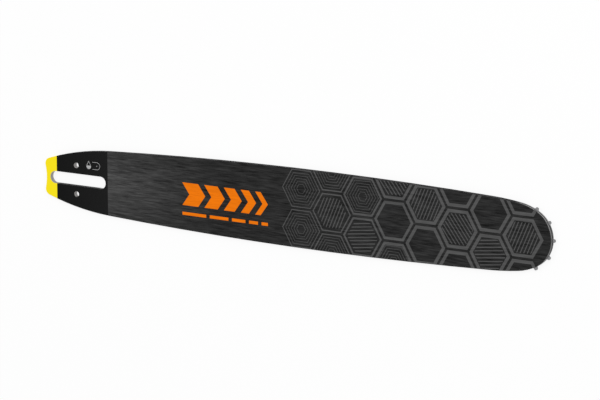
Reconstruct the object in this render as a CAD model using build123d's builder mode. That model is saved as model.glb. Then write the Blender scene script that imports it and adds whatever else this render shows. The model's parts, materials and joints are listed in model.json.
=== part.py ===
from build123d import *
import math
import os

# Chainsaw guide bar with a sprocket nose, lying flat on its lower plate.
# X runs from the heel to the nose, Y across the bar and Z up through the plates.
# The origin is the middle of the stud slot, on the lower face. Millimetres throughout.

# Plates: two outer plates and a core that sets the gauge of the chain groove
plate_thickness = 1.6
groove_width = 1.6
groove_depth = 7.5
rail_chamfer = 0.3

# Outline of the outer plates
waist_to_slot = 37.4  # back of the heel to the middle of the stud slot
slot_to_axis = 485.4  # middle of the stud slot to the sprocket's axis
heel_width = 32.8  # between the heel's two corners, before they are rounded
heel_hollow = 2.8  # how far the heel's end curves in between its corners
heel_corner = 6.0
rail_start = 36.4  # middle of the stud slot to where the long rail curve begins
rail_start_width = 63.0
middle_width = 74.6
nose_blend_length = 32.7  # sprocket's axis back to where the rails turn in to the nose
nose_taper = 10.4  # how much wider than the nose the bar is there
shoulder_length = 4.2  # sprocket's axis back to where the nose's shoulders begin
shoulder_taper = 5.0  # how much wider than the nose the bar is there
nose_radius = 28.3

# Heel: stud slot, and the two holes for the tensioner pin and the chain oil
slot_length = 65.8
slot_width = 12.1
slot_rim = 4.5  # core left on both sides of the slot at the heel's end
hole_diameter = 5.6
hole_spacing = 28.4
hole_offset = 1.7  # behind the middle of the stud slot
oil_channel_width = 2.5

# Core windows and their moulded inserts
window_count = 4
window_start = 62.0  # from the middle of the stud slot
window_to_axis = 45.0
window_rib = 12.0
window_rim = 9.0  # core left between the groove's floor and the windows
window_corner = 6.0
insert_shrinkage = 0.05

# Nose sprocket
tooth_count = 11
tooth_projection = 2.75  # tooth tips beyond the nose rails
valley_depth = 6.7  # valley floors below the nose rails
valley_round = 3.0
tooth_tip_width = 2.2  # before its corners are rounded
tip_round = 0.9
sprocket_room = 1.0  # from the tooth tips to the core's hollow end
side_clearance = 0.05  # between the turning pieces and each outer plate

# Nose bearing, a full set of rollers without a cage
race_radius = 7.5
roller_radius = 1.9
bearing_clearance = 0.03
roller_gap = 0.1  # least space from one roller to the next

# Rivets through the plates and the race, with countersunk heads flush with the outer faces
rivet_count = 3
rivet_radius = 1.6
rivet_head_radius = 2.2  # at the outer faces
rivet_head_angle = 90
rivet_circle_radius = 4.4

# Levels and places that follow from these sizes
core_level = plate_thickness
upper_level = plate_thickness + groove_width
bar_thickness = upper_level + plate_thickness
turning_thickness = groove_width - 2 * side_clearance
turning_level = core_level + side_clearance
sprocket_tip_radius = nose_radius + tooth_projection
sprocket_root_radius = nose_radius - valley_depth
roller_circle_radius = race_radius + bearing_clearance + roller_radius
sprocket_bore_radius = roller_circle_radius + roller_radius + bearing_clearance
roller_pitch_angle = 2 * math.degrees(math.asin((roller_radius + roller_gap / 2) / roller_circle_radius))
roller_count = int(360 / roller_pitch_angle)
rivet_head_depth = (rivet_head_radius - rivet_radius) / math.tan(math.radians(rivet_head_angle / 2))
window_end = slot_to_axis - window_to_axis
window_length = (window_end - window_start - (window_count - 1) * window_rib) / window_count

core_plane = Plane.XY.offset(core_level)
upper_plane = Plane.XY.offset(upper_level)
turning_plane = Plane.XY.offset(turning_level)
middle_plane = Plane.XY.offset(bar_thickness / 2)

os.makedirs("parts", exist_ok=True)


def write(piece, name):
    """Names a finished piece and writes it as its own file."""
    piece.part.label = name
    export_step(piece.part, f"parts/{name}.step")


# Corners of the upper half of the outline
waist = Vector(-waist_to_slot, 0)
heel_point = Vector(-waist_to_slot - heel_hollow, heel_width / 2)
rail_back = Vector(rail_start, rail_start_width / 2)
rail_front = Vector(slot_to_axis - nose_blend_length, nose_radius + nose_taper / 2)
shoulder = Vector(slot_to_axis - shoulder_length, nose_radius + shoulder_taper / 2)
rail_middle = Vector((rail_back.X + rail_front.X) / 2, middle_width / 2)
nose_axis = Vector(slot_to_axis, 0)
nose_tip = nose_axis + Vector(nose_radius, 0)

# Outline with sharp heel corners, which the core and its windows are offset from
with BuildSketch() as sharp_outline:
    with BuildLine():
        TangentArc(waist, heel_point, tangent=(0, 1))
        rail = ThreePointArc(rail_back, rail_middle, rail_front)
        TangentArc(rail_back, heel_point, tangent=-(rail % 0))
        taper = TangentArc(rail_front, shoulder, tangent=rail % 1)
        # The shoulder's arc leaves the taper along its tangent and joins the nose circle the same way
        inward = (taper % 1).rotate(Axis.Z, -90)
        reach = shoulder - nose_axis
        shoulder_radius = (nose_radius**2 - reach.length**2) / (2 * (reach.dot(inward) + nose_radius))
        shoulder_centre = shoulder + inward * shoulder_radius
        nose_start = shoulder_centre + (nose_axis - shoulder_centre).normalized() * shoulder_radius
        TangentArc(shoulder, nose_start, tangent=taper % 1)
        TangentArc(nose_tip, nose_start, tangent=(0, 1))
        mirror(about=Plane.XZ)
    make_face()

# Outline of the outer plates, with its heel corners rounded
with BuildSketch() as bar_outline:
    add(sharp_outline.sketch)
    fillet(bar_outline.vertices().group_by(Axis.X)[0], heel_corner)

# Openings that pass through all three plates at the heel
with BuildSketch() as heel_openings:
    SlotOverall(slot_length, slot_width)
    with Locations((-hole_offset, hole_spacing / 2), (-hole_offset, -hole_spacing / 2)):
        Circle(hole_diameter / 2)

# Sections of the rivets' shanks, shared with the holes in the race
with BuildSketch() as rivet_sections:
    with Locations(nose_axis):
        with PolarLocations(rivet_circle_radius, rivet_count):
            Circle(rivet_radius)

# Outer plates: the upper one, and the lower one as its mirror image
with BuildPart() as upper_side_plate:
    with BuildSketch(upper_plane):
        add(bar_outline.sketch)
        add(heel_openings.sketch, mode=Mode.SUBTRACT)
    extrude(amount=plate_thickness)
    top_face = upper_side_plate.faces().sort_by(Axis.Z)[-1]
    chamfer(top_face.outer_wire().edges(), rail_chamfer)
    with Locations(nose_axis + Vector(0, 0, bar_thickness)):
        with PolarLocations(rivet_circle_radius, rivet_count):
            CounterSinkHole(rivet_radius, rivet_head_radius, counter_sink_angle=rivet_head_angle)
write(upper_side_plate, "upper_side_plate")

with BuildPart() as lower_side_plate:
    mirror(upper_side_plate.part, about=middle_plane)
write(lower_side_plate, "lower_side_plate")

# Windows in the core, one behind the other, as wide as the core's rim leaves them
windows = []
for index in range(window_count):
    window_middle = window_start + window_length / 2 + index * (window_length + window_rib)
    with BuildSketch() as window:
        add(sharp_outline.sketch)
        offset(amount=-groove_depth - window_rim)
        with Locations((window_middle, 0)):
            Rectangle(window_length, middle_width, mode=Mode.INTERSECT)
        fillet(window.vertices(), window_corner)
    windows.append(window.sketch)

# Tongue of the core that closes the groove behind the stud slot
with BuildSketch() as heel_tongue:
    add(bar_outline.sketch)
    Rectangle(2 * waist_to_slot + 2 * heel_hollow, slot_width + 2 * slot_rim, mode=Mode.INTERSECT)

# Core plate, set back from the outline to leave the chain groove open
with BuildPart() as core_plate:
    with BuildSketch(core_plane):
        add(sharp_outline.sketch)
        offset(amount=-groove_depth)
        add(heel_tongue.sketch)
        add(heel_openings.sketch, mode=Mode.SUBTRACT)
        with Locations((-hole_offset, hole_spacing / 2)):
            Rectangle(oil_channel_width, middle_width, align=(Align.CENTER, Align.MIN), mode=Mode.SUBTRACT)
        with Locations((-hole_offset, -hole_spacing / 2)):
            Rectangle(oil_channel_width, middle_width, align=(Align.CENTER, Align.MAX), mode=Mode.SUBTRACT)
        with Locations(nose_axis):
            Circle(sprocket_tip_radius + sprocket_room, mode=Mode.SUBTRACT)
        for window_face in windows:
            add(window_face, mode=Mode.SUBTRACT)
    extrude(amount=groove_width)
write(core_plate, "core_plate")

# Moulded inserts, a little smaller all round than their windows
for index, window_face in enumerate(windows, start=1):
    with BuildPart() as core_insert:
        with BuildSketch(core_plane):
            add(window_face)
            offset(amount=-insert_shrinkage)
        extrude(amount=groove_width)
    write(core_insert, f"core_insert_{index}")

# Star sprocket: a disc with a rounded valley for each drive link
corner_angle = math.pi / tooth_count - math.asin(tooth_tip_width / 2 / sprocket_tip_radius)
tip_corner = Vector(math.cos(corner_angle), math.sin(corner_angle)) * sprocket_tip_radius
valley_centre = Vector(sprocket_root_radius + valley_round, 0)
flank_reach = tip_corner - valley_centre
half_valley = math.atan2(flank_reach.Y, flank_reach.X) - math.asin(valley_round / flank_reach.length)
valley_point = valley_centre.X - valley_round / math.sin(half_valley)
valley_mouth = 2 * sprocket_tip_radius
valley_half_width = (valley_mouth - valley_point) * math.tan(half_valley)
with BuildPart() as nose_sprocket:
    with BuildSketch(turning_plane) as sprocket_profile:
        with Locations(nose_axis):
            Circle(sprocket_tip_radius)
            with PolarLocations(0, tooth_count, start_angle=180 / tooth_count):
                Polygon(
                    (valley_point, 0),
                    (valley_mouth, -valley_half_width),
                    (valley_mouth, valley_half_width),
                    align=None,
                    mode=Mode.SUBTRACT,
                )
        valley_floors = sprocket_profile.vertices().sort_by_distance(nose_axis)[:tooth_count]
        fillet(valley_floors, valley_round)
        tip_corners = sprocket_profile.vertices().sort_by_distance(nose_axis)[-2 * tooth_count :]
        fillet(tip_corners, tip_round)
        with Locations(nose_axis):
            Circle(sprocket_bore_radius, mode=Mode.SUBTRACT)
    extrude(amount=turning_thickness)
write(nose_sprocket, "nose_sprocket")

# Inner race, clamped between the outer plates by the rivets
with BuildPart() as bearing_race:
    with BuildSketch(core_plane):
        with Locations(nose_axis):
            Circle(race_radius)
        add(rivet_sections.sketch, mode=Mode.SUBTRACT)
    extrude(amount=groove_width)
write(bearing_race, "bearing_race")

# Rollers, evenly spaced between the race and the sprocket's bore
for index in range(roller_count):
    roller_angle = math.radians(index * 360 / roller_count)
    roller_place = nose_axis + Vector(math.cos(roller_angle), math.sin(roller_angle)) * roller_circle_radius
    with BuildPart() as bearing_roller:
        with BuildSketch(turning_plane):
            with Locations(roller_place):
                Circle(roller_radius)
        extrude(amount=turning_thickness)
    write(bearing_roller, f"bearing_roller_{index + 1:02d}")

# Rivets, as long as the bar is thick, with a head at each end that fills its countersink
with BuildPart() as nose_rivets:
    add(rivet_sections.sketch)
    extrude(amount=bar_thickness)
    with Locations(nose_axis):
        with PolarLocations(rivet_circle_radius, rivet_count):
            Cone(
                rivet_head_radius,
                rivet_radius,
                rivet_head_depth,
                align=(Align.CENTER, Align.CENTER, Align.MIN),
            )
    mirror(about=middle_plane)
write(nose_rivets, "nose_rivets")
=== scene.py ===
# %% [markdown]
# # A chainsaw guide bar
# A guide bar is the long flat blade that a saw chain runs round. Two outer plates hold a core between them.
# The core is set back from the edge, so a groove stays open for the chain's drive links, and a star
# sprocket turns in the nose. The solids come from CAD and stay as they are. This notebook dresses them: it
# sets up the view and the light, gives every solid a finish, and models the print on the upper face.

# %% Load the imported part
import json
import math

import bmesh
import bpy
from mathutils import Matrix, Vector


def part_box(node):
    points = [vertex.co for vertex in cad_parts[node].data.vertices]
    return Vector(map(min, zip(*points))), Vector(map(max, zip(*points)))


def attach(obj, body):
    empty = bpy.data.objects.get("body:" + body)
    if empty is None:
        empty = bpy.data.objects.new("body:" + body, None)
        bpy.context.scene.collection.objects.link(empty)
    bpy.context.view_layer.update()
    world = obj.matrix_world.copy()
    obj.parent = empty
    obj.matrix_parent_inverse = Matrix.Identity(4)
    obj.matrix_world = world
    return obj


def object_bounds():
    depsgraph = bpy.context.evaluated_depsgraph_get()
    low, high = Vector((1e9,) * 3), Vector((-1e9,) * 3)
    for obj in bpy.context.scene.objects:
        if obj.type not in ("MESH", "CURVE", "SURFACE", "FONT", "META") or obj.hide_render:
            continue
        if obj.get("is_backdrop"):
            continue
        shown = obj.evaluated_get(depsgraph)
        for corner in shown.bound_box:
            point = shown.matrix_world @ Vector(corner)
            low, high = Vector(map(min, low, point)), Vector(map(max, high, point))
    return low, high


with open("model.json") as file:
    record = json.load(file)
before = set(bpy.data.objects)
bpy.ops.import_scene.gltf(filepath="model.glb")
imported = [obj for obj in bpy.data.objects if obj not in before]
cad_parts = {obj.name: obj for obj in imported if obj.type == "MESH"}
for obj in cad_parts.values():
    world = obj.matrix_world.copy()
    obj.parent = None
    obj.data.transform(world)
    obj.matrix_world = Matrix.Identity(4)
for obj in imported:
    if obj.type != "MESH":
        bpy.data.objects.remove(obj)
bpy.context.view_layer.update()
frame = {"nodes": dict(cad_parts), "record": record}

MM = 0.001


# %% [markdown]
# ## The camera
# The bar lies flat and the camera looks down on it from beyond the nose, so the nose's edge shows and the
# heel's doesn't. A long lens far away keeps the two rails almost parallel. A Track To constraint could aim
# the camera, but it would keep the picture level with the floor. Here lines across the bar stand upright in
# the picture, so the camera's turn is written as its three axes.

# %% Camera
CAMERA_PLACE = Vector((1.67607, 0.58123, 2.30524))
TOWARDS_CAMERA = Vector((0.51461, 0.20720, 0.83201)).normalized()
ACROSS_BAR = Vector((0, 1, 0))
LENS = 179.3
SENSOR_WIDTH = 36
camera_right = ACROSS_BAR.cross(TOWARDS_CAMERA).normalized()
camera_up = TOWARDS_CAMERA.cross(camera_right)
camera_turn = Matrix((camera_right, camera_up, TOWARDS_CAMERA)).transposed().to_euler()
bpy.ops.object.select_all(action="DESELECT")
bpy.ops.object.camera_add(location=CAMERA_PLACE, rotation=camera_turn)
camera = bpy.context.object
camera.data.sensor_width = SENSOR_WIDTH
camera.data.lens = LENS
bpy.context.scene.camera = camera
print("camera at", [round(value, 3) for value in camera.location], "with a", LENS, "mm lens")

# %% [markdown]
# ## White surroundings
# The bar is shown on plain white with hardly a shadow, as in a catalogue. Strong lamps would make any floor
# white, but they would bleach the bar as well. So the light stays at a plain level, and the Light Path node
# tells two kinds of rays apart: a ray that sees the sky or the floor directly finds white, and a ray that
# lights the bar finds a grey sky. The floor keeps a share of its own matt colour, which is where the soft
# shadow shows.


# %% Sky
def put(tree, kind, inputs=(), **settings):
    """Adds a node. An input that is a socket is linked, and any other value is set."""
    node = tree.nodes.new(kind)
    for key, value in settings.items():
        setattr(node, key, value)
    for key, value in dict(inputs).items():
        if isinstance(value, bpy.types.NodeSocket):
            tree.links.new(value, node.inputs[key])
        else:
            node.inputs[key].default_value = value
    return node


def calculate(tree, operation, first, second=0.0):
    """The result of a Math node."""
    return put(tree, "ShaderNodeMath", {0: first, 1: second}, operation=operation).outputs[0]


def seen_directly(tree):
    """One for camera, mirror and see-through rays, and nothing for the rays that light the object."""
    rays = put(tree, "ShaderNodeLightPath").outputs
    seen = calculate(tree, "MAXIMUM", rays["Is Camera Ray"], rays["Is Glossy Ray"])
    return calculate(tree, "MAXIMUM", seen, rays["Is Transmission Ray"])


SKY_LIGHT = 0.58
WHITE = (1, 1, 1, 1)
studio = bpy.data.worlds.new("studio")
studio.use_nodes = True
bpy.context.scene.world = studio
sky_tree = studio.node_tree
sky = sky_tree.nodes["Background"]
sky.inputs["Color"].default_value = WHITE
ends = {"To Min": SKY_LIGHT, "To Max": 1.0}
strength = put(sky_tree, "ShaderNodeMapRange", {"Value": seen_directly(sky_tree), **ends})
sky_tree.links.new(strength.outputs[0], sky.inputs["Strength"])
bpy.context.scene.view_settings.view_transform = "Standard"
print("sky strength", SKY_LIGHT)

# %% Floor
FLOOR_SIZE = 14.0
FLOOR_DROP = 0.1 * MM
FLOOR_PALE = (0.95, 0.95, 0.95, 1)
FLOOR_WHITE = 0.85
bpy.ops.object.select_all(action="DESELECT")
bpy.ops.mesh.primitive_plane_add(size=FLOOR_SIZE, location=(0, 0, -FLOOR_DROP))
floor = bpy.context.object
floor.name = "floor"
floor_finish = bpy.data.materials.new("pale_floor")
floor_finish.use_nodes = True
floor_tree = floor_finish.node_tree
floor_tree.nodes.clear()
matt = put(floor_tree, "ShaderNodeBsdfDiffuse", {"Color": FLOOR_PALE})
white = put(floor_tree, "ShaderNodeEmission", {"Color": WHITE, "Strength": 1.0})
share = calculate(floor_tree, "MULTIPLY", seen_directly(floor_tree), FLOOR_WHITE)
mixed = put(floor_tree, "ShaderNodeMixShader", {0: share, 1: matt.outputs[0], 2: white.outputs[0]})
put(floor_tree, "ShaderNodeOutputMaterial", {"Surface": mixed.outputs[0]})
floor.data.materials.append(floor_finish)
floor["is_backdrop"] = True
print("floor", FLOOR_SIZE, "m wide")

# %% [markdown]
# ## Lamps
# Two broad area lamps shape the bar. One stands beyond the nose and lights the rails and the teeth, and a
# weaker one behind the heel lights the heel's edge, which shows from the other side. A small lamp would put
# a hard bright spot on the coat, so both are wide, and both are turned towards the middle of the bar.

# %% Lamps
BAR_MIDDLE = Vector((0.24, 0, 0))
LAMP_WIDTH = 1.6
LAMPS = {"nose_lamp": ((1.9, 1.5, 2.2), 40), "heel_lamp": ((-1.6, 0.6, 2.4), 18)}
for name, (place, power) in LAMPS.items():
    aim = (Vector(place) - BAR_MIDDLE).to_track_quat("Z", "Y").to_euler()
    bpy.ops.object.light_add(type="AREA", location=place, rotation=aim)
    lamp = bpy.context.object
    lamp.name = name
    lamp.data.size = LAMP_WIDTH
    lamp.data.energy = power
    print(name, power, "W")

# %% [markdown]
# ## The printed plates
# The outer plates are sheet steel under a coat: a yellow heel, a black clamping zone round the stud slot,
# and a long field printed like brushed anthracite. An image could be painted for this, but it would need an
# unwrapped mesh and would blur close up. The zones are simply distances along the bar, so a few Math nodes
# on the Object coordinates place them exactly. The finish comes together in four steps: brushed streaks,
# colour zones, bare steel, and the shader that takes them all.


# %% Start of the plate finish
def new_finish(name):
    """An empty finish: the material, its node tree, its shader and the place on the bar in metres."""
    finish = bpy.data.materials.new(name)
    finish.use_nodes = True
    tree = finish.node_tree
    place = put(tree, "ShaderNodeTexCoord").outputs["Object"]
    return finish, tree, tree.nodes["Principled BSDF"], place


def axes_of(tree, vector):
    """The X, Y and Z sockets of a vector."""
    return put(tree, "ShaderNodeSeparateXYZ", {0: vector}).outputs


plate_finish, plate_tree, plate_shader, plate_place = new_finish("printed_plate")
along, across, level = axes_of(plate_tree, plate_place)
aside = calculate(plate_tree, "ABSOLUTE", across)
print("empty finish", plate_finish.name)

# %% [markdown]
# ### Soft bands
# A brushed sheet has broad soft bands that run along it, where the brush pressed harder. A picture of them
# could be stretched over the face, but noise does it without one: a Mapping node scales the coordinates, so
# that each spot of the noise is much longer along the bar than across it. Two such layers are added up.

# %% Soft bands
# Lengths of the bands along X, Y and Z in millimetres, and their contrast
SOFT_BANDS = (((110, 6.0, 40), 0.14), ((40, 2.6, 40), 0.3))
BAND_DETAIL = 2
NOISE_ROUGHNESS = 0.6
# Where nearly all of the noise lies
NOISE_RANGE = (0.3, 0.7)


def remap(tree, value, old, new):
    """Carries a value from one range to another and stops at its ends."""
    ends = {"From Min": old[0], "From Max": old[1], "To Min": new[0], "To Max": new[1]}
    return put(tree, "ShaderNodeMapRange", {"Value": value, **ends}).outputs[0]


def stretched_noise(tree, place, lengths, detail):
    """Noise whose spots have these lengths along X, Y and Z, in millimetres."""
    scale = tuple(1 / (length * MM) for length in lengths)
    stretched = put(tree, "ShaderNodeMapping", {"Vector": place, "Scale": scale}).outputs[0]
    spots = {"Vector": stretched, "Scale": 1.0, "Detail": detail, "Roughness": NOISE_ROUGHNESS}
    return put(tree, "ShaderNodeTexNoise", spots).outputs["Fac"]


def soft_bands(tree, place):
    """A factor about 1 that changes slowly in long bands."""
    bands = 1.0
    for lengths, contrast in SOFT_BANDS:
        noise = stretched_noise(tree, place, lengths, BAND_DETAIL)
        bands = calculate(tree, "ADD", remap(tree, noise, NOISE_RANGE, (-contrast, contrast)), bands)
    return bands


print(len(SOFT_BANDS), "layers of soft bands")

# %% [markdown]
# ### Straight scratches
# The scratches of the brush are fine and straight, and of many widths. Stretched noise is too cloudy for
# them. So the face is cut into thin rows of uneven height, and each row reads its own stretch of one long
# noise. Four sets of rows, down to the width of a hair, lie over the bands. Only the low and high ends of
# their noise count, as dark and light lines, which leaves plain ground between them.

# %% Straight rows
# How often and how far the rows move away from even heights, in rows
UNEVEN_PACE = 0.37
UNEVEN_REACH = 2.6
# How far apart the rows begin on the long noise
ROW_SPREAD = 997
# How much finer noise is added to the heights and in the rows
UNEVEN_DETAIL = 0.0
ROW_DETAIL = 1.0


def long_noise(tree, reach, scale, detail):
    """Noise along a single line."""
    line = {"W": reach, "Scale": scale, "Detail": detail}
    return put(tree, "ShaderNodeTexNoise", line, noise_dimensions="1D").outputs["Fac"]


def straight_rows(tree, place, height, length):
    """Noise in straight rows of about this height: each row reads its own stretch of one long noise."""
    x, y, _ = axes_of(tree, place)
    rows = calculate(tree, "DIVIDE", y, height * MM)
    wander = calculate(tree, "MULTIPLY", long_noise(tree, rows, UNEVEN_PACE, UNEVEN_DETAIL), UNEVEN_REACH)
    row = calculate(tree, "FLOOR", calculate(tree, "ADD", rows, wander))
    start = put(tree, "ShaderNodeTexWhiteNoise", {"W": row}, noise_dimensions="1D").outputs["Value"]
    start = calculate(tree, "MULTIPLY", start, ROW_SPREAD)
    reach = calculate(tree, "ADD", calculate(tree, "DIVIDE", x, length * MM), start)
    return long_noise(tree, reach, 1.0, ROW_DETAIL)


print("rows begin up to", ROW_SPREAD, "spots apart")

# %% Brushed streaks
# Height and length of the lines in millimetres, and their contrast
BRUSH_LINES = ((1.15, 30, 0.36), (0.6, 16, 0.3), (0.22, 14, 0.36), (0.08, 30, 0.44))
DARK_END = (0.33, 0.46)
DARK_WEIGHT = 0.9
LIGHT_END = (0.54, 0.67)
LIGHT_WEIGHT = 1.35


def brushed_streaks(tree, place):
    """A factor about 1 that changes in straight lines along the bar, with soft bands under them."""
    streaks = soft_bands(tree, place)
    for height, length, contrast in BRUSH_LINES:
        rows = straight_rows(tree, place, height, length)
        darker = remap(tree, rows, DARK_END, (-DARK_WEIGHT * contrast, 0))
        lighter = remap(tree, rows, LIGHT_END, (0, LIGHT_WEIGHT * contrast))
        streaks = calculate(tree, "ADD", calculate(tree, "ADD", streaks, darker), lighter)
    return streaks


streaks = brushed_streaks(plate_tree, plate_place)
print("streaks in", len(BRUSH_LINES), "sets of rows over", len(SOFT_BANDS), "soft bands")

# %% [markdown]
# ### Colour zones
# The coat changes sharply from yellow to black and from black to the brushed field, so Less Than nodes
# choose the colour. The brushed field carries a painted sheen: it is lighter next to the black zone and along
# the middle of the bar, darker towards the rails, and Map Range nodes let the sheen fade towards the nose.
# Yellow and black are plain powder coat, but the black carries painted shade: it is darker at the yellow end
# and lighter towards the brushed field. A flat colour looks like plastic close up, so a grain of under a
# millimetre changes their tone a little.

# %% Brushed field
BLACK_END = 35.4 * MM
FADE_END = 158 * MM
BRUSHED_AT_HEEL = 0.046
BRUSHED_AT_NOSE = 0.0155
# Painted sheen: lighter along the middle of the bar and darker towards the rails, fading out towards the nose
PAINTED_SHEEN_SIDES = (8 * MM, 33 * MM)
PAINTED_SHEEN_SHARES = (1.12, 0.6)
PAINTED_SHEEN_STREAKS = 0.55
# The base tone is a little darker towards the rails too
GROUND_SIDES = (15 * MM, 37 * MM)
GROUND_SHARES = (1.02, 0.95)


def grey_of(tree, tone):
    """A grey of the given tone."""
    return put(tree, "ShaderNodeCombineColor", {0: tone, 1: tone, 2: tone}).outputs[0]


def brushed_tone(tree, along, aside, streaks):
    """The tone of the anthracite with a painted sheen that is lighter next to the heel, where the streaks are
    faint.
    """
    painted_sheen = remap(tree, along, (BLACK_END, FADE_END), (BRUSHED_AT_HEEL - BRUSHED_AT_NOSE, 0))
    painted_sheen = calculate(tree, "MULTIPLY", painted_sheen, remap(tree, aside, PAINTED_SHEEN_SIDES, PAINTED_SHEEN_SHARES))
    faint_streaks = calculate(tree, "MULTIPLY", streaks, PAINTED_SHEEN_STREAKS)
    painted_sheen = calculate(tree, "MULTIPLY", painted_sheen, calculate(tree, "ADD", faint_streaks, 1 - PAINTED_SHEEN_STREAKS))
    ground = remap(tree, aside, GROUND_SIDES, [share * BRUSHED_AT_NOSE for share in GROUND_SHARES])
    return calculate(tree, "ADD", painted_sheen, calculate(tree, "MULTIPLY", ground, streaks))


anthracite = grey_of(plate_tree, brushed_tone(plate_tree, along, aside, streaks))
print("brushed field fades to", BRUSHED_AT_NOSE, "at", FADE_END / MM, "mm")

# %% Yellow and black
YELLOW_END = -25.0 * MM
YELLOWS = ((0.92, 0.745, 0.008, 1), (0.98, 0.795, 0.010, 1))
# Painted shade: the black is darker at the yellow end and lighter towards the brushed field
BLACK_PAINTED_SHADE_TONES = (0.0012, 0.0058)
GRAIN_LENGTHS = (0.7, 0.7, 0.7)
GRAIN_DETAIL = 2
GRAIN_TONES = (0.35, 1.65)


def choose(tree, share, first, second):
    """Blends from the first colour to the second."""
    return put(tree, "ShaderNodeMix", {0: share, 6: first, 7: second}, data_type="RGBA").outputs[2]


grain = stretched_noise(plate_tree, plate_place, GRAIN_LENGTHS, GRAIN_DETAIL)
grain = remap(plate_tree, grain, NOISE_RANGE, GRAIN_TONES)
# The black's painted shade, from dark at the yellow end to lighter at the brushed field
black_with_painted_shade = remap(plate_tree, along, (YELLOW_END, BLACK_END), BLACK_PAINTED_SHADE_TONES)
black = grey_of(plate_tree, calculate(plate_tree, "MULTIPLY", black_with_painted_shade, grain))
yellow = choose(plate_tree, remap(plate_tree, grain, GRAIN_TONES, (0, 1)), *YELLOWS)
on_heel = calculate(plate_tree, "LESS_THAN", along, BLACK_END)
on_yellow = calculate(plate_tree, "LESS_THAN", along, YELLOW_END)
coat = choose(plate_tree, on_heel, anthracite, black)
coat = choose(plate_tree, on_yellow, coat, yellow)
print("yellow to", YELLOW_END / MM, "mm, black to", BLACK_END / MM, "mm, then brushed")

# %% [markdown]
# ### Bare steel
# Steel shows only where the plates are ground after coating: in the two holes, at the round ends of the
# slot and along the rails at the nose. These bare and coated zones also paint light and shade: the lighter
# bare steel on the walls of the holes, of the slot's ends and of the rails at the nose is partly painted
# light, and the black coat left on the slot's long sides and on the rails back from the nose is partly
# painted shade. Those faces could be picked by hand for a second material, but the plate is a CAD mesh that
# stays as it is. So masks find them. A face that looks neither up nor down is a wall, and its place along,
# across and up the bar says which one. The slot's long sides keep their black coat.

# %% Bare openings
# The bare walls of the holes and the slot's ends are partly painted light, and the coat on the slot's long
# sides is partly painted shade
OPENINGS_ALONG = 33.8 * MM
OPENINGS_ASIDE = 17.2 * MM
SLOT_ASIDE = 7 * MM
SLOT_SIDES = (24 * MM, 28 * MM)


def on_slot_sides(tree, along, aside):
    """One on the slot's long sides and nothing at its round ends."""
    beside = calculate(tree, "LESS_THAN", aside, SLOT_ASIDE)
    straight = remap(tree, calculate(tree, "ABSOLUTE", along), SLOT_SIDES, (1, 0))
    return calculate(tree, "MULTIPLY", beside, straight)


def in_openings(tree, along, aside):
    """One in the two holes and at the round ends of the slot."""
    near = calculate(tree, "LESS_THAN", calculate(tree, "ABSOLUTE", along), OPENINGS_ALONG)
    near = calculate(tree, "MULTIPLY", near, calculate(tree, "LESS_THAN", aside, OPENINGS_ASIDE))
    coat_and_painted_shade = calculate(tree, "MULTIPLY", near, on_slot_sides(tree, along, aside))
    return calculate(tree, "SUBTRACT", near, coat_and_painted_shade)


opened = in_openings(plate_tree, along, aside)
print("openings within", OPENINGS_ALONG / MM, "mm of the slot's middle")

# %% Bare rails
# Bare and lighter from here to the nose, coated and dark behind it: partly painted light and shade on the
# rails
RAIL_FADE = (476 * MM, 492 * MM)
TIP_EDGE = (12 * MM, 19 * MM)
WALL_FACING = 0.3
EDGE_FACING = 0.95
MIDDLE_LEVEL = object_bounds()[1].z / 2


def off_the_faces(tree, aside, level):
    """One on walls, on the inner faces beside the groove, and on the broken edge at the nose's tip."""
    normal = put(tree, "ShaderNodeNewGeometry").outputs["Normal"]
    facing = calculate(tree, "ABSOLUTE", axes_of(tree, normal)["Z"])
    wall = calculate(tree, "LESS_THAN", facing, WALL_FACING)
    broken_edge = calculate(tree, "LESS_THAN", facing, EDGE_FACING)
    broken_edge = calculate(tree, "MULTIPLY", broken_edge, remap(tree, aside, TIP_EDGE, (1, 0)))
    depth = calculate(tree, "ABSOLUTE", calculate(tree, "SUBTRACT", level, MIDDLE_LEVEL))
    inner_face = calculate(tree, "LESS_THAN", depth, MIDDLE_LEVEL / 2)
    return calculate(tree, "MAXIMUM", calculate(tree, "MAXIMUM", wall, inner_face), broken_edge)


bare = calculate(plate_tree, "MAXIMUM", opened, remap(plate_tree, along, RAIL_FADE, (0, 1)))
bare = calculate(plate_tree, "MULTIPLY", bare, off_the_faces(plate_tree, aside, level))
print("bare rails from", RAIL_FADE[0] / MM, "mm")

# %% Tone of the bare steel
GRINDING_LENGTHS = (60, 60, 0.4)
GRINDING_DETAIL = 3
# The walls of the holes and the slot's ends get the lightest steel, partly as painted light
WALL_STEEL = ((0.30, 0.285, 0.27, 1), (0.46, 0.44, 0.42, 1))
TIP_STEEL = ((0.13, 0.13, 0.13, 1), (0.19, 0.19, 0.19, 1))
RAIL_STEEL = ((0.25, 0.25, 0.25, 1), (0.36, 0.36, 0.36, 1))
grinding = stretched_noise(plate_tree, plate_place, GRINDING_LENGTHS, GRINDING_DETAIL)
grinding = remap(plate_tree, grinding, NOISE_RANGE, (0, 1))
rails = choose(plate_tree, grinding, *RAIL_STEEL)
tip = choose(plate_tree, grinding, *TIP_STEEL)
walls = choose(plate_tree, grinding, *WALL_STEEL)
steel = choose(plate_tree, remap(plate_tree, aside, TIP_EDGE, (0, 1)), tip, rails)
steel = choose(plate_tree, opened, steel, walls)
print("three tones of ground steel")

# %% [markdown]
# ### The finished plate
# One shader takes the coat, the steel and the masks. Bare steel is metallic and the coat isn't. The coat is
# nearly matt, so its specular level is set low, straight on the socket. The streaks, and on the heel the
# grain, also change the roughness and tilt the surface a little, which is what makes a brushed sheet catch
# the light in lines.

# %% Plate finish
COAT_GLOSS = 0.06
BARE_METALLIC = 0.75
PLATE_ROUGHNESS = (0.52, 0.36)
TEXTURE_RANGE = (0.6, 1.5)
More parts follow.
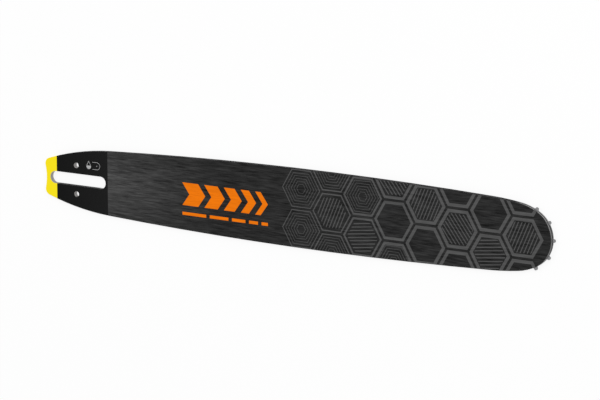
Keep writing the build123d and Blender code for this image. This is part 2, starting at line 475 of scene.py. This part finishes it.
# Strength of the relief, and its depth in millimetres
PLATE_RELIEF = (0.12, 0.02)


def raise_grain(tree, shader, height, relief):
    """Tilts the surface as if the texture stood out from it."""
    strength, depth = relief
    bump = put(tree, "ShaderNodeBump", {"Height": height, "Strength": strength, "Distance": depth * MM})
    tree.links.new(bump.outputs[0], shader.inputs["Normal"])


texture = choose(plate_tree, on_heel, streaks, grain)
roughness = remap(plate_tree, texture, TEXTURE_RANGE, PLATE_ROUGHNESS)
metallic = remap(plate_tree, bare, (0, 1), (0, BARE_METALLIC))
plate_tree.links.new(choose(plate_tree, bare, coat, steel), plate_shader.inputs["Base Color"])
plate_tree.links.new(metallic, plate_shader.inputs["Metallic"])
plate_tree.links.new(roughness, plate_shader.inputs["Roughness"])
plate_shader.inputs["Specular IOR Level"].default_value = COAT_GLOSS
raise_grain(plate_tree, plate_shader, texture, PLATE_RELIEF)
print("plate finish with", len(plate_tree.nodes), "nodes")

# %% [markdown]
# ## The steels
# The sprocket is stamped from strip and hardened, the bearing's race and rollers are ground bright, and the
# core is plain rolled sheet. One grey metal would do from far away, but each steel has a grain of its own:
# small mottles from hardening, fine lines from grinding, long streaks from rolling. So one function makes
# them all, and the lengths of the noise along X, Y and Z make the difference.

# %% Steels
STEEL_DETAIL = 4
# Steel is a touch bluer than plain grey
STEEL_BLUE = 1.015
STEEL_RELIEF = (0.1, 0.02)
# How much rougher the dark spots are, and how much smoother the light ones
ROUGHER = 0.08
SMOOTHER = 0.05
CORE_METALLIC = 0.8


def steel_finish(name, dark, light, grain, roughness, metallic):
    """Steel whose tone moves between two greys in spots of the given lengths in millimetres."""
    finish, tree, shader, place = new_finish(name)
    spots = remap(tree, stretched_noise(tree, place, grain, STEEL_DETAIL), NOISE_RANGE, (0, 1))
    tones = [(tone, tone, tone * STEEL_BLUE, 1) for tone in (dark, light)]
    tree.links.new(choose(tree, spots, *tones), shader.inputs["Base Color"])
    polish = remap(tree, spots, (0, 1), (roughness + ROUGHER, roughness - SMOOTHER))
    tree.links.new(polish, shader.inputs["Roughness"])
    shader.inputs["Metallic"].default_value = metallic
    raise_grain(tree, shader, spots, STEEL_RELIEF)
    return finish, tree, shader, place


core_finish, core_tree, core_shader, core_place = steel_finish(
    "core_steel", dark=0.24, light=0.36, grain=(30, 1.0, 1.0), roughness=0.45, metallic=CORE_METALLIC
)
sprocket_finish, *_ = steel_finish(
    "sprocket_steel", dark=0.16, light=0.25, grain=(1.2, 1.2, 0.4), roughness=0.38, metallic=0.8
)
bearing_finish, *_ = steel_finish(
    "bearing_steel", dark=0.45, light=0.62, grain=(2, 2, 0.2), roughness=0.22, metallic=0.95
)
print("steels:", core_finish.name, sprocket_finish.name, bearing_finish.name)

# %% [markdown]
# ### The coat inside the slot
# The black coat runs over the long sides of the stud slot, and the core's edge is part of them; like
# the plates' black there, it is partly painted shade. So the core gets the same mask as the plates, between
# its own steel and the black.

# %% Coat on the core
# Black coat on the slot's long sides, partly painted shade
SLOT_COAT_AND_PAINTED_SHADE = (BLACK_PAINTED_SHADE_TONES[1],) * 3 + (1,)
core_along, core_across, _ = axes_of(core_tree, core_place)
coat_and_painted_shade = on_slot_sides(core_tree, core_along, calculate(core_tree, "ABSOLUTE", core_across))
rolled_steel = core_shader.inputs["Base Color"].links[0].from_socket
core_tree.links.new(choose(core_tree, coat_and_painted_shade, rolled_steel, SLOT_COAT_AND_PAINTED_SHADE), core_shader.inputs["Base Color"])
core_tree.links.new(remap(core_tree, coat_and_painted_shade, (0, 1), (CORE_METALLIC, 0)), core_shader.inputs["Metallic"])
core_shader.inputs["Specular IOR Level"].default_value = COAT_GLOSS
print("core steel with", len(core_tree.nodes), "nodes")

# %% [markdown]
# ## Filled polyamide
# The core's windows are filled with black polyamide that holds short glass fibres, so that the bar is light
# and still stiff. The fibres could be scattered as tiny curves, but nobody would see more than their
# specks. Noise that is longer along the bar than across it gives those specks, and a low bump makes the
# moulded skin.

# %% Filled polyamide
POLYAMIDE = (0.008, 0.008, 0.009, 1)
FIBRE = (0.035, 0.035, 0.036, 1)
FIBRE_LENGTHS = (1.6, 0.4, 0.4)
FIBRE_DETAIL = 4
FIBRE_RANGE = (0.35, 0.7)
MOULDED_ROUGHNESS = 0.6
MOULDED_RELIEF = (0.2, 0.03)
filler_finish, filler_tree, filler_shader, filler_place = new_finish("filled_polyamide")
fibres = stretched_noise(filler_tree, filler_place, FIBRE_LENGTHS, FIBRE_DETAIL)
fibres = remap(filler_tree, fibres, FIBRE_RANGE, (0, 1))
filler_tree.links.new(choose(filler_tree, fibres, POLYAMIDE, FIBRE), filler_shader.inputs["Base Color"])
filler_shader.inputs["Roughness"].default_value = MOULDED_ROUGHNESS
raise_grain(filler_tree, filler_shader, fibres, MOULDED_RELIEF)
print("finish", filler_finish.name)

# %% [markdown]
# ## A finish for every solid
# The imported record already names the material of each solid. A loop over the record hands the finishes out,
# so no solid is forgotten, and the mesh itself isn't touched.

# %% Hand out the finishes
finishes = {
    "printed_plate": plate_finish,
    "core_steel": core_finish,
    "filled_polyamide": filler_finish,
    "sprocket_steel": sprocket_finish,
    "bearing_steel": bearing_finish,
}
slot_of = {row["node"]: row["material_slot"] for row in frame["record"]["subparts"]}
for name, solid in frame["nodes"].items():
    solid.data.materials.clear()
    solid.data.materials.append(finishes[slot_of[name]])
print(len(frame["nodes"]), "solids with", len(finishes), "finishes")

# %% [markdown]
# ## The printed film
# The ink on the upper face is a film a few hundredths of a millimetre thick. It ends where the plate's edge
# is broken, and it runs over the rivets, whose heads are flush. It could be drawn in the plate's material,
# but real geometry stays crisp from any distance. The easiest way to get its outer edge right is to take it
# from the plate: a copy of the plate's top face, with the rivet holes filled and raised a little, is the
# whole film. Each motif is then modelled as a tall cutter that stands through the face, and what the cutter
# and the film have in common is the print.

# %% The blank film
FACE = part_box("upper_side_plate")[1].z
FILM_SUNK = 0.01 * MM
FILM_PROUD = 0.02 * MM
MERGE_REACH = 0.001 * MM
FACE_REACH = 0.1 * MM
LOOKS_UP = 0.9
RIVET_HOLE_SIDES = 60


def pick(piece, kind, test):
    """In edit mode, selects only the vertices or faces that pass a test."""
    bpy.ops.mesh.select_mode(type=kind)
    bpy.ops.mesh.select_all(action="DESELECT")
    mesh = bmesh.from_edit_mesh(piece.data)
    for item in mesh.verts if kind == "VERT" else mesh.faces:
        item.select_set(test(item))
    mesh.select_flush_mode()
    bmesh.update_edit_mesh(piece.data)


def only(piece):
    """Makes a piece the only selected one, and the active one."""
    bpy.ops.object.select_all(action="DESELECT")
    piece.select_set(True)
    bpy.context.view_layer.objects.active = piece


film = bpy.data.objects.new("film", frame["nodes"]["upper_side_plate"].data.copy())
bpy.context.scene.collection.objects.link(film)
only(film)
bpy.ops.object.mode_set(mode="EDIT")
bpy.ops.mesh.select_all(action="SELECT")
bpy.ops.mesh.remove_doubles(threshold=MERGE_REACH)
pick(film, "FACE", lambda face: face.normal.z < LOOKS_UP)
bpy.ops.mesh.delete(type="FACE")
pick(film, "FACE", lambda face: face.calc_center_median().z < FACE - FACE_REACH)
bpy.ops.mesh.delete(type="FACE")
bpy.ops.mesh.select_all(action="SELECT")
bpy.ops.mesh.fill_holes(sides=RIVET_HOLE_SIDES)
bpy.ops.mesh.select_all(action="SELECT")
bpy.ops.transform.translate(value=(0, 0, -FILM_SUNK))
bpy.ops.mesh.extrude_region_move(TRANSFORM_OT_translate={"value": (0, 0, FILM_SUNK + FILM_PROUD)})
bpy.ops.mesh.select_all(action="SELECT")
bpy.ops.mesh.normals_make_consistent(inside=False)
bpy.ops.object.mode_set(mode="OBJECT")
print("blank film with", len(film.data.polygons), "faces")

# %% [markdown]
# ### Inks
# Printing ink is opaque, but it settles in the brush marks, so a little of the streaks shows through. A
# plain colour would float above the sheet. So each ink has a darker and a lighter shade, and the same
# streaks that the plate has choose between them.

# %% Inks
ORANGE = (0.83, 0.178, 0.0)
GREY = (0.079, 0.079, 0.079)
PALE = (0.42, 0.42, 0.42)
STREAK_RANGE = (0.5, 1.6)
INK_POLISH = 0.06


def ink_finish(name, colour, streak_share, roughness):
    """Opaque ink that lets a little of the brushed ground show through."""
    finish, tree, shader, place = new_finish(name)
    shade = remap(tree, brushed_streaks(tree, place), STREAK_RANGE, (0, 1))
    dark = tuple(part * (1 - streak_share) for part in colour) + (1,)
    light = tuple(part * (1 + streak_share) for part in colour) + (1,)
    tree.links.new(choose(tree, shade, dark, light), shader.inputs["Base Color"])
    polish = remap(tree, shade, (0, 1), (roughness + INK_POLISH, roughness - INK_POLISH))
    tree.links.new(polish, shader.inputs["Roughness"])
    shader.inputs["Specular IOR Level"].default_value = COAT_GLOSS
    return finish


orange_ink = ink_finish("orange_ink", ORANGE, streak_share=0.09, roughness=0.45)
grey_ink = ink_finish("grey_ink", GREY, streak_share=0.16, roughness=0.5)
pale_ink = ink_finish("pale_ink", PALE, streak_share=0.08, roughness=0.5)
print("inks:", orange_ink.name, grey_ink.name, pale_ink.name)

# %% [markdown]
# ## Orange chevrons
# The bold orange print behind the middle is a row of chevrons that point to the nose and get narrower on
# the way. A chevron could be drawn corner by corner, but by hand it is quicker to start from a plane: cut
# it in four, pull its middle row of corners forward, and extrude it into a cutter. The cutters are then
# joined, and a Boolean keeps what they have in common with the film.

# %% Chevrons
CUTTER_HEIGHT = 0.6 * MM
CUTTER_BOTTOM = FACE - CUTTER_HEIGHT / 2
PRINT_START = 122.0
CHEVRON_WIDTHS = (18.0, 15.0, 12.0, 9.0, 6.0)
CHEVRON_GAP = 7.0
CHEVRON_HEIGHT = 22.0
CHEVRON_POINT = 8.0


def flat_plane(x, y, length, width):
    """A flat rectangle just below the face, centred at x and y in millimetres, open in edit mode."""
    bpy.ops.object.select_all(action="DESELECT")
    bpy.ops.mesh.primitive_plane_add(size=1, location=(x * MM, y * MM, CUTTER_BOTTOM))
    piece = bpy.context.object
    piece.scale = (length * MM, width * MM, 1)
    bpy.ops.object.transform_apply(location=True, rotation=True, scale=True)
    bpy.ops.object.mode_set(mode="EDIT")
    return piece


def raise_cutter():
    """Gives the flat outline in edit mode the height of a cutter, and leaves edit mode."""
    bpy.ops.mesh.select_all(action="SELECT")
    bpy.ops.mesh.extrude_region_move(TRANSFORM_OT_translate={"value": (0, 0, CUTTER_HEIGHT)})
    bpy.ops.mesh.select_all(action="SELECT")
    bpy.ops.mesh.normals_make_consistent(inside=False)
    bpy.ops.object.mode_set(mode="OBJECT")


chevrons = []
back = PRINT_START
for width in CHEVRON_WIDTHS:
    chevron = flat_plane(back + width / 2, 0, width, CHEVRON_HEIGHT)
    bpy.ops.mesh.subdivide(number_cuts=1)
    pick(chevron, "VERT", lambda corner: abs(corner.co.y) < CHEVRON_HEIGHT * MM / 4)
    bpy.ops.transform.translate(value=(CHEVRON_POINT * MM, 0, 0))
    raise_cutter()
    chevrons.append(chevron)
    back += width + CHEVRON_GAP
print(len(chevrons), "chevrons from", PRINT_START, "mm")


# %% From cutter to print
def joined(pieces):
    """Joins pieces into one object and returns it."""
    only(pieces[0])
    for piece in pieces:
        piece.select_set(True)
    bpy.ops.object.join()
    return bpy.context.object


def keep_common(piece, other):
    """Cuts a piece down to what it has in common with another."""
    only(piece)
    cut = piece.modifiers.new("cut", "BOOLEAN")
    cut.operation = "INTERSECT"
    cut.solver = "EXACT"
    cut.object = other
    bpy.ops.object.modifier_apply(modifier=cut.name)


def print_from(cutter, name, ink):
    """Turns a cutter into a named print in the film, which rides on the bar."""
    only(cutter)
    bpy.ops.object.transform_apply(location=True, rotation=True, scale=True)
    keep_common(cutter, film)
    cutter.name = name
    cutter.data.name = name
    cutter.data.materials.clear()
    cutter.data.materials.append(ink)
    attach(cutter, "bar")
    print(name, "with", len(cutter.data.polygons), "faces")


print_from(joined(chevrons), "print_chevrons", orange_ink)

# %% [markdown]
# ## Broken line
# Under the chevrons runs a line of dashes that get shorter towards the nose too. They are planes, raised
# into cutters as the chevrons were. An Array modifier makes only equal copies, so a loop places them by
# length.

# %% Broken line
DASH_LENGTHS = (27.0, 21.0, 15.0, 10.0, 7.0)
DASH_GAP = 4.0
DASH_HEIGHT = 3.0
DASH_ACROSS = -19.0
dashes = []
back = PRINT_START
for length in DASH_LENGTHS:
    dashes.append(flat_plane(back + length / 2, DASH_ACROSS, length, DASH_HEIGHT))
    raise_cutter()
    back += length + DASH_GAP
print_from(joined(dashes), "print_broken_line", orange_ink)

# %% [markdown]
# ## Grey honeycomb
# The front half carries a grey honeycomb, which suits a light bar: the cells begin with thin lines near the
# middle, and the lines get bolder towards the nose. Curves with a bevel would also give lines, but rounded
# ones. A ring with sharp flat sides is a six-sided cylinder whose two ends are inset and bridged. One ring
# is made for each column of cells, and the copies keep clear of each other.

# %% Six-sided rings
FLATS_ALONG = math.radians(30)
CELL_RADIUS = 20.6
LINE_WIDTHS = (0.8, 1.2, 1.8, 2.5, 3.0, 3.0, 3.0, 3.0)


def six_sided(radius):
    """A six-sided cutter at the origin, with two of its flats along the rails."""
    bpy.ops.object.select_all(action="DESELECT")
    bpy.ops.mesh.primitive_cylinder_add(vertices=6, radius=radius * MM, depth=CUTTER_HEIGHT)
    piece = bpy.context.object
    piece.location.z = FACE
    piece.rotation_euler.z = FLATS_ALONG
    bpy.ops.object.transform_apply(location=True, rotation=True, scale=True)
    return piece


def ring(radius, line_width):
    """A six-sided ring at the origin, as a cutter."""
    piece = six_sided(radius)
    bpy.ops.object.mode_set(mode="EDIT")
    pick(piece, "FACE", lambda face: abs(face.normal.z) > LOOKS_UP)
    bpy.ops.mesh.inset(thickness=line_width * MM, use_individual=True)
    bpy.ops.mesh.bridge_edge_loops()
    bpy.ops.object.mode_set(mode="OBJECT")
    return piece


patterns = [ring(CELL_RADIUS, line_width) for line_width in LINE_WIDTHS]
print(len(patterns), "rings with", len(patterns[0].data.polygons), "faces each")

# %% Honeycomb
CELL_PITCH_RADIUS = 22.0
COLUMN_START = 254.4
COLUMN_STEP = 1.5 * CELL_PITCH_RADIUS
ROW_STEP = math.sqrt(3) * CELL_PITCH_RADIUS
EVEN_ROWS = (-0.5, 0.5)
ODD_ROWS = (-1, 0, 1)


def copy_in_cell(pattern, column, row):
    """A copy of a pattern with its own mesh, moved from the origin to a cell."""
    only(pattern)
    bpy.ops.object.duplicate(linked=False)
    bpy.ops.transform.translate(value=((COLUMN_START + column * COLUMN_STEP) * MM, row * ROW_STEP * MM, 0))
    return bpy.context.object


def take_away(pieces):
    """Removes patterns once they have been copied."""
    for piece in pieces:
        bpy.data.objects.remove(piece)


rings = []
for column, pattern in enumerate(patterns):
    rows = ODD_ROWS if column % 2 else EVEN_ROWS
    rings += [copy_in_cell(pattern, column, row) for row in rows]
take_away(patterns)
print_from(joined(rings), "print_honeycomb", grey_ink)

# %% [markdown]
# ## Nested rings
# Where the honeycomb begins, its cells hold thin rings one inside the other, so the print starts finely and
# grows bolder. The ring of the honeycomb already takes a radius and a line width, so it only has to be made
# smaller.

# %% Nested rings
NEST_LINE = 0.45
NEST_RADII = (17.0, 14.0, 11.0, 8.0, 5.0)
NESTED_CELLS = ((0, -0.5), (0, 0.5), (1, -1), (1, 1), (2, 0.5), (3, -1))
patterns = [ring(radius, NEST_LINE) for radius in NEST_RADII]
nests = [copy_in_cell(pattern, column, row) for pattern in patterns for column, row in NESTED_CELLS]
take_away(patterns)
print_from(joined(nests), "print_nested_rings", grey_ink)

# %% [markdown]
# ## Hatching
# Some other cells are hatched in three directions. Lines could be cut to length one by one, but a cell can
# do it: an Array modifier repeats one long line, and a Boolean with a smaller six-sided cutter trims them
# all at once. The lines are tilted a little from the cell's sides, because a Boolean dislikes faces that
# lie in one plane.

# %% Hatched patterns
HATCH_LINE = 0.9
HATCH_STEP = 3.2
HATCH_COUNT = 13
HATCH_LENGTH = 2.2 * CELL_RADIUS
HATCH_HEIGHT = 0.8 * CUTTER_HEIGHT
HATCH_MARGIN = 4.4
HATCH_TILT = 7
HATCH_TURNS = (0, 60, 120)


def hatched(turn):
    """Lines in the shape of a cell, turned by an angle in degrees."""
    cell = six_sided(CELL_RADIUS - HATCH_MARGIN)
    first_line = -HATCH_STEP * (HATCH_COUNT - 1) / 2
    bpy.ops.object.select_all(action="DESELECT")
    bpy.ops.mesh.primitive_cube_add(size=1, location=(0, first_line * MM, FACE))
    lines = bpy.context.object
    lines.scale = (HATCH_LENGTH * MM, HATCH_LINE * MM, HATCH_HEIGHT)
    bpy.ops.object.transform_apply(location=True, rotation=True, scale=True)
    copies = lines.modifiers.new("copies", "ARRAY")
    copies.count = HATCH_COUNT
    copies.use_relative_offset = False
    copies.use_constant_offset = True
    copies.constant_offset_displace = (0, HATCH_STEP * MM, 0)
    bpy.ops.object.modifier_apply(modifier=copies.name)
    lines.rotation_euler.z = math.radians(turn + HATCH_TILT)
    bpy.ops.object.transform_apply(location=True, rotation=True, scale=True)
    keep_common(lines, cell)
    bpy.data.objects.remove(cell)
    return lines


patterns = {turn: hatched(turn) for turn in HATCH_TURNS}
print(len(patterns), "hatched patterns of", HATCH_COUNT, "lines")

# %% Hatching
HATCHED_CELLS = {(1, 0): 60, (2, -0.5): 0, (3, 1): 120, (4, 0.5): 60, (5, 0): 120, (6, -0.5): 0, (7, 0): 60}
hatches = [copy_in_cell(patterns[turn], column, row) for (column, row), turn in HATCHED_CELLS.items()]
take_away(patterns.values())
print_from(joined(hatches), "print_hatching", grey_ink)

# %% [markdown]
# ## Oil sign: the drop
# Beside one hole stands a small sign that says where the chain oil goes in: a drop, half full, next to the
# rounded end of a bar. The drop could be a curve, but a disc is nearer to it: the corners above its
# shoulder are gathered into one and pulled up to the tip. An inset makes the outline, and a bisect at the
# oil's level lets the upper part of the inside be taken out.

# %% Drop
DROP_PLACE = (13.2, 14.9)
DROP_RADIUS = 2.7
DROP_TIP = 5.4
DROP_LINE = 0.4
DROP_OIL = 0.7
SIGN_SIDES = 32
# Every face of the inset's rim has four corners, and the inside has more
RIM_CORNERS = 4
SHOULDER = (DROP_PLACE[1] + DROP_RADIUS**2 / DROP_TIP) * MM
TIP = (DROP_PLACE[1] + DROP_TIP) * MM
OIL_LEVEL = (DROP_PLACE[1] + DROP_OIL) * MM


def disc(x, y, radius):
    """A flat disc just below the face, centred at x and y in millimetres, open in edit mode."""
    bpy.ops.object.select_all(action="DESELECT")
    bpy.ops.mesh.primitive_circle_add(
        vertices=SIGN_SIDES, radius=radius * MM, fill_type="NGON", location=(x * MM, y * MM, CUTTER_BOTTOM)
    )
    bpy.ops.object.transform_apply(location=True, rotation=True, scale=True)
    bpy.ops.object.mode_set(mode="EDIT")
    return bpy.context.object


drop = disc(*DROP_PLACE, DROP_RADIUS)
pick(drop, "VERT", lambda corner: corner.co.y > SHOULDER)
bpy.ops.mesh.merge(type="CENTER")
gathered = next(corner for corner in bmesh.from_edit_mesh(drop.data).verts if corner.select)
bpy.ops.transform.translate(value=(0, TIP - gathered.co.y, 0))
bpy.ops.mesh.select_mode(type="FACE")
bpy.ops.mesh.select_all(action="SELECT")
bpy.ops.mesh.inset(thickness=DROP_LINE * MM)
bpy.ops.mesh.bisect(plane_co=(0, OIL_LEVEL, 0), plane_no=(0, 1, 0))
pick(drop, "FACE", lambda face: len(face.verts) > RIM_CORNERS and face.calc_center_median().y > OIL_LEVEL)
bpy.ops.mesh.delete(type="FACE")
raise_cutter()
print_from(drop, "print_drop", pale_ink)

# %% [markdown]
# ## Oil sign: the bar's end
# The other half of the sign is the outline of a bar's round end, with a dot for the hole. It begins as a
# disc again. Its left half is pulled out, the inside is inset and deleted, and a bisect takes off the far
# end, so that an open loop is left.

# %% Bar end
END_PLACE = (22.8, 15.9)
END_RADIUS = 3.7
END_LENGTH = 5.2
END_LINE = 0.36
EYE_RADIUS = 0.45
# The corners at the disc's top and bottom aren't in its left half
LEFT_MARGIN = 0.01
LEFT_HALF = (END_PLACE[0] - LEFT_MARGIN) * MM
OPEN_END = (END_PLACE[0] - END_LENGTH) * MM
bar_end = disc(*END_PLACE, END_RADIUS)
pick(bar_end, "VERT", lambda corner: corner.co.x < LEFT_HALF)
bpy.ops.transform.translate(value=(-2 * END_LENGTH * MM, 0, 0))
bpy.ops.mesh.select_all(action="SELECT")
bpy.ops.mesh.inset(thickness=END_LINE * MM)
bpy.ops.mesh.delete(type="FACE")
bpy.ops.mesh.select_all(action="SELECT")
bpy.ops.mesh.bisect(plane_co=(OPEN_END, 0, 0), plane_no=(1, 0, 0), clear_inner=True, use_fill=False)
raise_cutter()
eye = disc(*END_PLACE, EYE_RADIUS)
raise_cutter()
print_from(joined([bar_end, eye]), "print_bar_end", pale_ink)

# %% [markdown]
# ## Last steps
# The blank film has done its work and goes.

# %% Finish
bpy.data.objects.remove(film)
